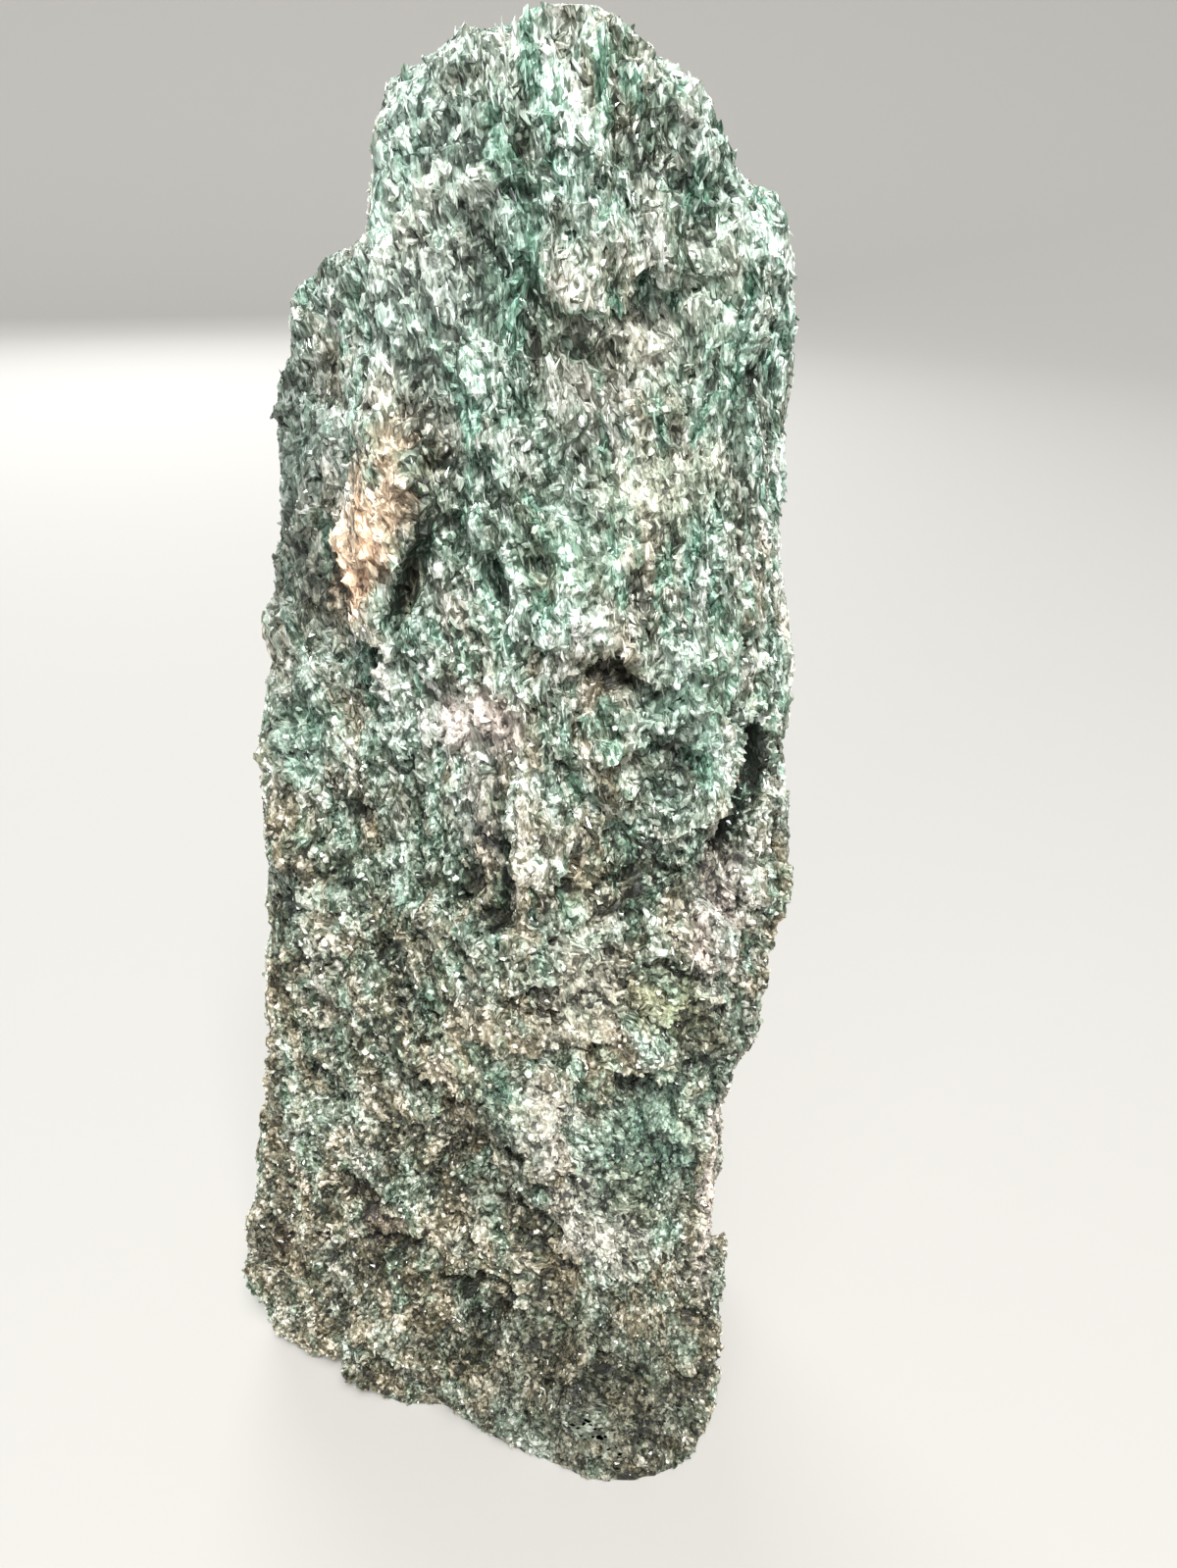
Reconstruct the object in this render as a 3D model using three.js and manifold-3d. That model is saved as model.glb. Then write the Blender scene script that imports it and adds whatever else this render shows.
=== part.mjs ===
// A raw fuchsite boulder: one upright piece of green mica schist, broken on every side.
// The rock grew as sheets of mica that stand on edge, parallel to the broad front and back.
// It breaks along them, so the piece is a stack of upright slabs that end at different heights,
// and its faces carry flakes, hollows and ledges where scales of rock have come away.
// The rock is one solid. It is described by a field, the distance in millimetres from a point
// to the surface (negative inside), and the surface where the field is zero becomes the mesh.
import * as THREE from "three";
import { ImprovedNoise } from "three/addons/math/ImprovedNoise.js";
import { mergeVertices } from "three/addons/utils/BufferGeometryUtils.js";
import Module from "manifold-3d";

// Driving dimensions in millimetres. X runs to the right, Y away from the viewer and Z up,
// and the boulder stands on Z = 0.
const HEIGHT = 253;
const BLEND = 2.5; // how far a slab's edge is healed into its neighbour
const ROUNDING = 4; // how far the corners of a slab are worn
const CELL = { x: 3.9, y: 3.9, z: 5.5 }; // sampling step, longer along the upright grain
const MARGIN = 9; // empty space sampled round the rock
const REACH = { x: 55, y: 44 }; // the furthest that a slab reaches from the middle
const SKIRT = CELL.z; // how far the field's rock goes on below the level where it stands
const GROUND = { width: 300, depth: 60 }; // the block that cuts the rock off level where it stands

// Each slab has upright edges. EDGE_HEIGHTS are the levels at which an edge's place is given, as
// [x, y], and between them the edge runs straight. Corners go round the slab, seen from above.
const EDGE_HEIGHTS = [-12, 0, 45, 95, 140, 190, 225, 256];

const SLABS = {
  // The body of the rock, from the foot to the blunt crown.
  core: {
    corners: {
      left: [[-50, -4], [-50, -4], [-49.5, -2], [-42, 1], [-36, 3], [-21, -1], [-13.5, -4], [-14, -5]],
      frontLeft: [
        [-42, -13.5], [-42, -13.5], [-40, -13], [-34, -13], [-27, -13], [-14, -17], [-9.5, -18], [-10, -15],
      ],
      ridge: [[28, -44], [28, -44], [24, -36], [13, -33], [9, -31], [9, -29], [9, -25], [9, -18]],
      frontRight: [
        [45, -36], [45, -36], [45, -30], [44.5, -27], [42, -26], [36, -24], [29, -21], [20, -15],
      ],
      right: [[54.5, -23], [54.5, -23], [47.8, -13], [46, -9], [46, -7], [43, -4], [36, -3], [21, -4]],
      backRight: [[47, 22], [47, 22], [46, 23], [44, 20], [42, 18], [37, 13], [32, 9], [23, 7]],
      back: [[10, 34], [10, 34], [12, 33], [10, 31], [8, 29], [8, 24], [10, 17], [10, 11]],
      backLeft: [[-37, 25], [-37, 25], [-36, 25], [-33, 24], [-30, 22], [-17, 18], [-9, 13], [-6, 8]],
    },
    tops: [
      { at: [12, -5, 254], azimuth: -80, rise: 82 },
      { at: [-9, -8, 245.2], azimuth: -74, rise: 57 },
      { at: [20, -5, 252.6], azimuth: 85, rise: 50 },
      { at: [24, -5, 244.6], azimuth: 88, rise: 28 },
      { at: [10, 8, 250], azimuth: 170, rise: 50 },
    ],
  },
  // The left shoulder, set back from the front and broken off level.
  leftShoulder: {
    corners: {
      outer: [[-52, -2], [-52, -2], [-53, 0], [-45, 3], [-38.5, 4], [-35, 4], [-27.6, 4], [-22, 4]],
      front: [[-44, -14], [-44, -14], [-42, -12], [-38, -11], [-34, -9], [-29, -10], [-23, -9], [-18, -7]],
      inner: [[-6, -22], [-6, -22], [-6, -20], [-6, -18], [-6, -15], [-6, -13], [-6, -12], [-6, -9]],
      back: [[-10, 30], [-10, 30], [-10, 28], [-10, 26], [-10, 24], [-8, 20], [-6, 16], [-6, 12]],
      outerBack: [[-47, 24], [-47, 24], [-44, 24], [-39, 23], [-34, 21], [-27, 18], [-20, 14], [-17, 10]],
    },
    tops: [
      { at: [-20, 0, 226], azimuth: -70, rise: 78 },
      { at: [-20, 12, 221], azimuth: 185, rise: 58 },
    ],
  },
  // Two thinner slabs step down on the right of the crown.
  rightStep: {
    corners: {
      inner: [[4, -18], [4, -18], [4, -18], [4, -18], [4, -18], [4, -18], [4, -16], [4, -12]],
      front: [[36, -25], [36, -25], [38, -24], [39, -25], [38, -25], [38, -22], [36, -17], [32, -12]],
      outer: [[44, -10], [44, -10], [45, -9], [46, -9], [46, -8], [45, -5], [42, -3], [37, -2]],
      back: [[34, 20], [34, 20], [35, 20], [36, 19], [36, 18], [35, 15], [33, 12], [30, 9]],
    },
    tops: [
      { at: [28, -6, 245.4], azimuth: 88, rise: 80 },
      { at: [34, -6, 242.6], azimuth: 88, rise: 36 },
    ],
  },
  // The flank: an outer slab whose lower end hangs over the foot as a ledge.
  flank: {
    corners: {
      inner: [[20, -12], [20, -12], [20, -12], [20, -12], [20, -12], [20, -8], [20, -3], [20, 2]],
      front: [[40, -26], [40, -26], [42, -26], [44, -27], [43, -25], [42, -20], [38, -11], [36, -5]],
      outer: [[49, -18], [49, -18], [50, -17], [53.5, -16], [52.5, -13], [51, -8], [43.8, 0], [42, 3]],
      outerBack: [[48, 14], [48, 14], [49, 14], [51, 14], [51, 15], [49, 15], [44, 14], [40, 12]],
      back: [[26, 26], [26, 26], [26, 26], [26, 26], [26, 25], [26, 22], [26, 18], [26, 14]],
    },
    tops: [
      { at: [40, 6, 233], azimuth: 92, rise: 80 },
      { at: [46, -18, 86.5], azimuth: 60, rise: -64 },
    ],
  },
  // The back: a scale of rock that reaches three quarters of the way up.
  backScale: {
    corners: {
      left: [[-34, 10], [-34, 10], [-33, 10], [-31, 10], [-28, 9], [-18, 6], [-11, 2], [-8, 0]],
      right: [[38, 12], [38, 12], [37, 12], [35, 12], [32, 11], [27, 8], [22, 5], [18, 1]],
      outerRight: [[31, 38], [31, 38], [30, 39], [28, 38], [25, 35], [21, 30], [18, 23], [16, 17]],
      outer: [[4, 43], [4, 43], [4, 42], [2, 41], [1, 39], [1, 33], [1, 26], [1, 19]],
      outerLeft: [[-29, 37], [-29, 37], [-28, 38], [-26, 36], [-23, 33], [-16, 28], [-11, 21], [-8, 15]],
    },
    tops: [
      { at: [4, 32, 196], azimuth: 150, rise: 55 },
      { at: [-16, 30, 168], azimuth: 215, rise: 40 },
    ],
  },
};

// Scales of rock that stand proud of the surface (lift over 0) or have come away (under 0).
// Each is an outline of [x, z] on the broad front or back, in which the edge fades over "edge".
const SCALES = [
  { name: "stained quartz ridge", side: "front", lift: 3.6, edge: 3,
    outline: [[-7, 203], [-7, 190], [-12, 173], [-21, 170], [-23, 180], [-17, 192], [-13, 204]] },
  { name: "hollow under the lip", side: "front", lift: -2.6, edge: 4,
    outline: [[11, 220], [25, 219], [26, 210], [18, 206], [11, 211]] },
  { name: "lip above the hollow", side: "front", lift: 1.8, edge: 4,
    outline: [[11, 230], [31, 229], [32, 222], [10, 223]] },
  { name: "groove beside the flank", side: "front", lift: -3.4, edge: 3,
    outline: [[27, 230], [31, 229], [35, 205], [33, 196], [29, 203]] },
  { name: "groove on the shoulder", side: "front", lift: -2.6, edge: 3,
    outline: [[-22.5, 222], [-19, 222], [-18, 203], [-21, 200]] },
  { name: "hollow at half height", side: "front", lift: -3.6, edge: 4,
    outline: [[13, 176], [24, 177], [26, 168], [17, 164]] },
  { name: "lump over the hollow", side: "front", lift: 1.6, edge: 6,
    outline: [[8, 186], [20, 187], [24, 180], [9, 177]] },
  { name: "broken bowl", side: "front", lift: -2.6, edge: 9,
    outline: [[17, 160], [34, 157], [37, 137], [34, 121], [20, 124], [15, 142]] },
  { name: "upright rib", side: "front", lift: 1.4, edge: 6,
    outline: [[4, 172], [12, 172], [14, 108], [7, 106]] },
  { name: "sheltered foot face", side: "front", lift: -2.6, edge: 4,
    outline: [[17, 92], [44, 92], [47, 44], [35, 48], [25, 72]] },
  { name: "diagonal ridge", side: "front", lift: 2.6, edge: 4,
    outline: [[9, 98], [14, 97], [22, 77], [34, 54], [28, 50], [16, 70]] },
  { name: "overhanging knob", side: "front", lift: 1.6, edge: 4,
    outline: [[35, 112], [52, 114], [54, 98], [38, 96]] },
  { name: "hollow beside the ridge", side: "front", lift: -2, edge: 9,
    outline: [[-10, 82], [4, 86], [12, 66], [4, 52], [-8, 58]] },
  { name: "lower left swell", side: "front", lift: 1.6, edge: 12,
    outline: [[-36, 118], [-8, 112], [-12, 66], [-24, 50], [-44, 62]] },
  { name: "pocket at the foot", side: "front", lift: -3.4, edge: 4,
    outline: [[-44, 36], [-35, 35], [-34, 26], [-42, 24]] },
  { name: "ledge across the foot", side: "front", lift: 1.8, edge: 4,
    outline: [[-22, 44], [10, 41], [34, 24], [30, 8], [-20, 14]] },
  { name: "chipped heel", side: "front", lift: -1, edge: 4,
    outline: [[-60, 8], [-36, 7], [-34, -14], [-60, -14]] },
  { name: "bite beside the heel", side: "front", lift: -6, edge: 4,
    outline: [[-34, 8], [-22, 6], [-20, -14], [-34, -14]] },
  { name: "bite at the middle of the foot", side: "front", lift: -3.6, edge: 4,
    outline: [[-12, 8], [3, 7], [5, -14], [-12, -14]] },
  { name: "upper back hollow", side: "back", lift: -4, edge: 6,
    outline: [[-10, 224], [14, 222], [18, 204], [-6, 200]] },
  { name: "back rib", side: "back", lift: 3.2, edge: 5,
    outline: [[8, 170], [15, 168], [12, 60], [2, 58]] },
  { name: "missing scale at the back", side: "back", lift: -4.5, edge: 4,
    outline: [[-30, 120], [-6, 128], [-2, 88], [-12, 62], [-34, 70]] },
  { name: "low back ledge", side: "back", lift: 3.4, edge: 4,
    outline: [[-36, 48], [4, 40], [28, 52], [34, 18], [-34, 12]] },
];

// Pits where a pebble of rock has dropped out, and the notch in the crown: middle, half-widths
// and depth.
const PITS = [
  { at: [44, -21, 157], half: [5, 6, 8], depth: 7 },
  { at: [5, -29, 185], half: [3, 8, 7], depth: 4 },
  { at: [42, -25, 146], half: [4, 5, 6], depth: 3.5 },
  { at: [-41, -12, 31], half: [7, 6, 5], depth: 4 },
  { at: [7, -6, 252], half: [3, 14, 5], depth: 2.5 },
];

const grain = new ImprovedNoise();

// Signed distance from a point to an outline in a plane, negative inside.
function polygonDistance(px, py, corners) {
  let nearest = Infinity;
  let inside = false;
  for (let i = 0, j = corners.length - 1; i < corners.length; j = i++) {
    const [ax, ay] = corners[i];
    const [bx, by] = corners[j];
    const ex = bx - ax;
    const ey = by - ay;
    const along = ((px - ax) * ex + (py - ay) * ey) / (ex * ex + ey * ey);
    const t = THREE.MathUtils.clamp(along, 0, 1);
    nearest = Math.min(nearest, Math.hypot(px - ax - t * ex, py - ay - t * ey));
    if (ay > py !== by > py && px < ax + ((py - ay) * ex) / ey) inside = !inside;
  }
  return inside ? -nearest : nearest;
}

// The place of an edge at a height.
function edgeAt(edge, z) {
  let i = 0;
  while (i < EDGE_HEIGHTS.length - 2 && z > EDGE_HEIGHTS[i + 1]) i++;
  const span = EDGE_HEIGHTS[i + 1] - EDGE_HEIGHTS[i];
  const t = THREE.MathUtils.clamp((z - EDGE_HEIGHTS[i]) / span, 0, 1);
  return [
    THREE.MathUtils.lerp(edge[i][0], edge[i + 1][0], t),
    THREE.MathUtils.lerp(edge[i][1], edge[i + 1][1], t),
  ];
}

// A break across a slab: a flat face through a point. Its outward direction has an azimuth, from
// the viewer (0) round by the right (90), and a rise above level.
function breakFace({ at, azimuth, rise }) {
  const a = THREE.MathUtils.degToRad(azimuth);
  const r = THREE.MathUtils.degToRad(rise);
  const normal = new THREE.Vector3(Math.sin(a) * Math.cos(r), -Math.cos(a) * Math.cos(r), Math.sin(r));
  return new THREE.Plane().setFromNormalAndCoplanarPoint(normal, new THREE.Vector3(...at));
}

// Where two distances are nearly equal, the amount by which a round replaces the sharp meeting.
function easing(a, b, width) {
  const h = Math.max(width - Math.abs(a - b), 0) / width;
  return (h * h * width) / 4;
}

const join = (a, b) => Math.min(a, b) - easing(a, b, BLEND);
const wearOff = (a, b) => Math.max(a, b) + easing(a, b, ROUNDING);

// Distance beyond the upright side that runs from one corner to the next.
function sideDistance(p, [ax, ay], [bx, by]) {
  return ((p.x - ax) * (by - ay) - (p.y - ay) * (bx - ax)) / Math.hypot(bx - ax, by - ay);
}

function slabField({ corners, tops }) {
  const edges = Object.values(corners);
  const faces = tops.map(breakFace);
  return (p) => {
    const section = edges.map((edge) => edgeAt(edge, p.z));
    const sides = section.map((from, i) => sideDistance(p, from, section[(i + 1) % section.length]));
    return [...sides, ...faces.map((face) => face.distanceToPoint(p))].reduce(wearOff);
  };
}

// Height of the broken sheets: a slow wave that is cut into steps, so the face falls by ledges.
function sheets(p) {
  const STEP = 2.1;
  const wave = 2.4 * grain.noise(p.x / 17 + 3.1, p.y / 60, p.z / 40);
  const step = Math.floor(wave);
  return STEP * (step + THREE.MathUtils.smoothstep(wave - step, 0.3, 0.62) - 0.5);
}

function lumps(p) {
  const coarse = 2.2 * grain.noise(p.x / 24 + 7.7, p.y / 22 + 1.9, p.z / 34);
  const fine = 1.3 * grain.noise(p.x / 9.5, p.y / 9.5 + 5.3, p.z / 14 + 2.2);
  return coarse + fine;
}

function scaleLift(p) {
  const front = 1 - THREE.MathUtils.smoothstep(p.y, -4, 8);
  const back = THREE.MathUtils.smoothstep(p.y, 8, 20);
  let lift = 0;
  for (const scale of SCALES) {
    const weight = scale.side === "front" ? front : back;
    if (weight === 0) continue;
    const away = polygonDistance(p.x, p.z, scale.outline);
    lift += weight * scale.lift * (1 - THREE.MathUtils.smoothstep(away, -scale.edge / 2, scale.edge / 2));
  }
  for (const { at, half, depth } of PITS) {
    const away = Math.hypot((p.x - at[0]) / half[0], (p.y - at[1]) / half[1], (p.z - at[2]) / half[2]);
    lift -= depth * (1 - THREE.MathUtils.smoothstep(away, 0.4, 1.3));
  }
  return lift;
}

const slabs = Object.values(SLABS).map(slabField);

function rockField(p) {
  const whole = slabs.map((field) => field(p)).reduce(join);
  return whole - lumps(p) - sheets(p) - scaleLift(p);
}

// Where rock touches rock only across the diagonal of a grid square, the mesh would pinch to a
// line. The shallower of the two open corners is filled, until no such square is left.
function fillPinches(values, stride) {
  const FILLED = -0.05;
  const squares = [[0, 1], [1, 2], [2, 0]];
  let changed = true;
  while (changed) {
    changed = false;
    for (let n = 0; n < values.length - stride[0] - stride[1] - stride[2]; n++)
      for (const [s, t] of squares) {
        const pair = [n, n + stride[s] + stride[t]];
        const other = [n + stride[s], n + stride[t]];
        const rock = pair.map((m) => values[m] < 0);
        const rockOther = other.map((m) => values[m] < 0);
        if (rock[0] !== rock[1] || rockOther[0] !== rockOther[1] || rock[0] === rockOther[0]) continue;
        const open = rock[0] ? other : pair;
        values[values[open[0]] < values[open[1]] ? open[0] : open[1]] = FILLED;
        changed = true;
      }
  }
}

// Moves each vertex a little towards the middle of its neighbours, which takes down lone spikes.
function relaxed(positions, index) {
  const SHARE = 0.3;
  const sums = new Float64Array(positions.length);
  const counts = new Uint16Array(positions.length / 3);
  for (let i = 0; i < index.length; i++) {
    const from = index[i];
    const to = index[i % 3 === 2 ? i - 2 : i + 1];
    for (let axis = 0; axis < 3; axis++) sums[3 * from + axis] += positions[3 * to + axis];
    counts[from]++;
  }
  return positions.map((value, i) => {
    const mean = sums[i] / counts[Math.floor(i / 3)];
    return THREE.MathUtils.lerp(value, mean, SHARE);
  });
}

// A grid over the space from low to high: its points each way, its cell, its first point, and how
// far apart neighbours along X, Y and Z lie in a flat list of its values.
function gridOver(low, high, cell) {
  const count = ["x", "y", "z"].map((k) => Math.ceil((high[k] - low[k]) / cell[k]) + 1);
  return { count, cell, start: low, stride: [1, count[0], count[0] * count[1]] };
}

function forEachPoint([countX, countY, countZ], visit) {
  for (let k = 0; k < countZ; k++)
    for (let j = 0; j < countY; j++) for (let i = 0; i < countX; i++) visit(new THREE.Vector3(i, j, k));
}

const numberOf = (step, stride) => step.x * stride[0] + step.y * stride[1] + step.z * stride[2];

function sampled(field, { count, cell, start, stride }) {
  const values = new Float32Array(count[0] * count[1] * count[2]);
  forEachPoint(count, (step) => {
    values[numberOf(step, stride)] = field(step.clone().multiply(cell).add(start));
  });
  return values;
}

// A grid cell's eight corners, and its twelve edges as pairs of corners.
const CELL_CORNERS = [0, 1, 2, 3, 4, 5, 6, 7].map((c) => new THREE.Vector3(c & 1, (c >> 1) & 1, c >> 2));
const CELL_EDGES = CELL_CORNERS.flatMap((from) =>
  CELL_CORNERS.filter((to) => to.length() > from.length() && to.distanceTo(from) === 1)
    .map((to) => [from, to]),
);

// The mean of the places where the surface crosses the edges of a cell, or null if it crosses none.
function meanCrossing(values, n, stride) {
  const mean = new THREE.Vector3();
  let crossings = 0;
  for (const [from, to] of CELL_EDGES) {
    const valueFrom = values[n + numberOf(from, stride)];
    const valueTo = values[n + numberOf(to, stride)];
    if (valueFrom < 0 === valueTo < 0) continue;
    mean.add(from.clone().lerp(to, valueFrom / (valueFrom - valueTo)));
    crossings++;
  }
  return crossings ? mean.divideScalar(crossings) : null;
}

// One vertex in each cell that the surface crosses.
function cellVertices(values, { count, cell, start, stride }) {
  const positions = [];
  const vertexOf = new Map();
  forEachPoint(count.map((points) => points - 1), (step) => {
    const n = numberOf(step, stride);
    const mean = meanCrossing(values, n, stride);
    if (!mean) return;
    vertexOf.set(n, positions.length / 3);
    positions.push(...step.add(mean).multiply(cell).add(start));
  });
  return { positions, vertexOf };
}

// One four-sided face, as two triangles, round each grid line that the surface cuts.
function faceIndex(values, stride, vertexOf) {
  const index = [];
  for (const n of vertexOf.keys())
    for (let axis = 0; axis < 3; axis++) {
      const inside = values[n] < 0;
      if (inside === values[n + stride[axis]] < 0) continue;
      const u = stride[(axis + 1) % 3];
      const v = stride[(axis + 2) % 3];
      const ring = [n, n - u, n - u - v, n - v].map((cellIndex) => vertexOf.get(cellIndex));
      if (!inside) ring.reverse();
      index.push(ring[0], ring[1], ring[2], ring[0], ring[2], ring[3]);
    }
  return index;
}

// Turns a field into a closed mesh.
function surfaceOf(field, low, high, cell) {
  const grid = gridOver(low, high, cell);
  const values = sampled(field, grid);
  fillPinches(values, grid.stride);
  const { positions, vertexOf } = cellVertices(values, grid);
  const index = faceIndex(values, grid.stride, vertexOf);
  const geometry = new THREE.BufferGeometry();
  geometry.setAttribute("position", new THREE.Float32BufferAttribute(relaxed(positions, index), 3));
  return geometry.setIndex(index);
}

const wasm = await Module();
wasm.setup();

function solidOf(geometry) {
  const plain = geometry.clone();
  plain.deleteAttribute("normal");
  plain.deleteAttribute("uv");
  const merged = mergeVertices(plain, 1e-4);
  return new wasm.Manifold(
    new wasm.Mesh({
      numProp: 3,
      vertProperties: merged.attributes.position.array,
      triVerts: new Uint32Array(merged.index.array),
    }),
  );
}

function geometryOf(solid) {
  const mesh = solid.getMesh();
  const geometry = new THREE.BufferGeometry();
  geometry.setAttribute("position", new THREE.BufferAttribute(new Float32Array(mesh.vertProperties), 3));
  geometry.setIndex(new THREE.BufferAttribute(new Uint32Array(mesh.triVerts), 1));
  return geometry;
}

// The rock, cut off level where it stands. Crumbs that the hollows cut loose are left out.
function rock() {
  const low = new THREE.Vector3(-REACH.x - MARGIN, -REACH.y - MARGIN, -SKIRT - CELL.z / 2);
  const high = new THREE.Vector3(REACH.x + MARGIN, REACH.y + MARGIN, HEIGHT + MARGIN);
  const closedBelow = (p) => Math.max(rockField(p), -SKIRT - p.z);
  const ground = new THREE.BoxGeometry(GROUND.width, GROUND.width, GROUND.depth);
  ground.translate(0, 0, -GROUND.depth / 2);
  const standing = solidOf(surfaceOf(closedBelow, low, high, CELL)).subtract(solidOf(ground));
  const pieces = standing.decompose().sort((a, b) => b.volume() - a.volume());
  return geometryOf(pieces[0]);
}

const fuchsite = new THREE.MeshStandardMaterial({
  color: 0x5f7f70,
  roughness: 0.5,
  metalness: 0.05,
  flatShading: true,
});

const boulder = new THREE.Mesh(rock(), fuchsite);
boulder.name = "boulder";

// The origin is under the middle of the boulder, on the surface that it stands on.
boulder.geometry.computeBoundingBox();
const middle = boulder.geometry.boundingBox.getCenter(new THREE.Vector3());
boulder.position.set(-middle.x, -middle.y, 0);

const part = new THREE.Group();
part.name = "fuchsite_boulder";
part.add(boulder);

export default part;
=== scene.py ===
# %% [markdown]
# # A raw fuchsite boulder
#
# Fuchsite is a green mica. It grows as thin flakes, and a boulder of fuchsite schist is millions
# of them pressed into sheets that stand on edge, with grains of quartz and feldspar between.
# From a step away you see a rough upright stone with a stepped crown. From close by you see
# flakes: some deep green, some pale, and some that throw the light straight back.
#
# The lesson builds it in that order: the broken stone, the relief of its faces, the loose flakes
# and grains on them, the colours, and then the light and the camera.

import math

import bmesh
import bpy
from mathutils import Matrix, Vector


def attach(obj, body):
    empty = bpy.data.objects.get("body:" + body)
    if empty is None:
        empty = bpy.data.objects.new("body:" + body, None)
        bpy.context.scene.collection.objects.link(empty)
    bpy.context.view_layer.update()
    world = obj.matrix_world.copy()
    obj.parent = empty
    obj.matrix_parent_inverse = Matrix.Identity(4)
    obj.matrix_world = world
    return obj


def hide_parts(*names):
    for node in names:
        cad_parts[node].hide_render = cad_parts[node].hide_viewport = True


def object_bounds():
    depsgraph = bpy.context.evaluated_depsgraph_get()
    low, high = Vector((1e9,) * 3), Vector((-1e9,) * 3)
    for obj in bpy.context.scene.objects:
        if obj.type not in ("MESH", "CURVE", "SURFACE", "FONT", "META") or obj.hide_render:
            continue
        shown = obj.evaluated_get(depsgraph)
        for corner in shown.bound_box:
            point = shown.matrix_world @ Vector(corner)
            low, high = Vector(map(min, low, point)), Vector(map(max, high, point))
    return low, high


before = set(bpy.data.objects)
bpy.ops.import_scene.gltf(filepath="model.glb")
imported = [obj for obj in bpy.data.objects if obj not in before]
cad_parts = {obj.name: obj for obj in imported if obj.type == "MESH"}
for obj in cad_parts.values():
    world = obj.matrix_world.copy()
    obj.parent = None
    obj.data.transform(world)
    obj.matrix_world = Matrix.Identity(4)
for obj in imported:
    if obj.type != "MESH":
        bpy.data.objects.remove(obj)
low_corner, high_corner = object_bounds()
print("the solid reaches from", [round(v * 1000, 1) for v in low_corner],
      "to", [round(v * 1000, 1) for v in high_corner], "mm")

# %% [markdown]
# Everything below is told in millimetres, as you would measure a stone, and Blender works in
# metres. One small helper adds a node to any tree, gives it its settings, and fills each of its
# sockets with a value or with another node's output. Every tree in this file is made with it.

# %% Units and the one node helper
MM = 0.001


def add(tree, kind, inputs=None, **settings):
    """Adds a node. inputs maps a socket's name or number to a value or to another output."""
    node = tree.nodes.new(kind)
    for name, value in settings.items():
        setattr(node, name, value)
    for key, value in (inputs or {}).items():
        if isinstance(value, bpy.types.NodeSocket):
            tree.links.new(value, node.inputs[key])
        else:
            node.inputs[key].default_value = value
    return node


def per_mm(x, y, z):
    """How often a pattern repeats in a metre, from the size of its cells in millimetres."""
    return (1000 / x, 1000 / y, 1000 / z)


# %% [markdown]
# ## The broken stone
#
# The frame's solid has the slabs, ledges and pits of the real stone in flat facets of 4 mm. A
# subdivision would keep those facets. A voxel remesh lays an even skin of small quads over the
# whole form instead, so that the relief can be pushed out of it anywhere, and three rounds of
# smoothing melt the facets. The frame's own mesh must stay as it is, so all this is done to a
# copy, whose loose triangles are merged first.

# %% Copy the solid and give it a fine even skin
SKIN_MM = 1.0
MERGE_MM = 0.001


def plain_mesh(obj, name):
    """The object's mesh with its modifiers carried out."""
    evaluated = obj.evaluated_get(bpy.context.evaluated_depsgraph_get())
    mesh = bpy.data.meshes.new_from_object(evaluated)
    mesh.name = name
    return mesh


def triangle_count(mesh):
    """How many triangles the mesh has."""
    mesh.calc_loop_triangles()
    return len(mesh.loop_triangles)


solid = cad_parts["boulder"]
merged = bmesh.new()
merged.from_mesh(solid.data)
bmesh.ops.remove_doubles(merged, verts=merged.verts, dist=MERGE_MM * MM)
skin = bpy.data.meshes.new("boulder skin")
merged.to_mesh(skin)
merged.free()
stone = bpy.data.objects.new("fuchsite_stone", skin)
bpy.context.scene.collection.objects.link(stone)

remesh = stone.modifiers.new("even skin", "REMESH")
remesh.mode = "VOXEL"
remesh.voxel_size = SKIN_MM * MM
melt = stone.modifiers.new("melt facets", "SMOOTH")
melt.factor = 0.5
melt.iterations = 3
stone.data = plain_mesh(stone, "boulder skin")
stone.modifiers.clear()
print("the skin has", triangle_count(stone.data), "triangles")

# %% [markdown]
# ## The relief of the faces
#
# A hammer blow leaves the stone broken at several scales at once: blocks as big as a thumb nail,
# long upright sheets, ledges a few millimetres high, single flakes, and grit. Each is one layer
# of a pattern that moves the skin in or out. A Voronoi pattern has a flat value in each cell and
# a jump between cells, as broken plates have, and a noise pattern has soft swells. The cells are
# taller than they are wide, and thinnest through the stone, because that is how the flakes lie.
#
# Near the crown the stone is mostly long sheets, and near the foot mostly blocks, so each layer
# has a height for the foot and one for the crown. The sheets lean a little to the left as they
# rise, which is done by sliding the pattern sideways with height, and a slow noise bends them.
#
# The tree keeps how low each point lies as an attribute called hollow, which the colours read
# later to paint the hollows darker, partly as dirt and partly as painted shade, and the proud
# parts paler, as painted light. It ends by keeping every point within the solid's own box, and
# leaves the foot flat.

# %% Trees that change geometry
def new_geometry_tree(name, inputs):
    """A geometry tree with a geometry in and out, and the named number or vector inputs."""
    tree = bpy.data.node_groups.new(name, "GeometryNodeTree")
    tree.is_modifier = True
    tree.interface.new_socket("Geometry", in_out="INPUT", socket_type="NodeSocketGeometry")
    tree.interface.new_socket("Geometry", in_out="OUTPUT", socket_type="NodeSocketGeometry")
    for label, kind in inputs.items():
        tree.interface.new_socket(label, in_out="INPUT", socket_type="NodeSocket" + kind)
    return tree


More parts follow.
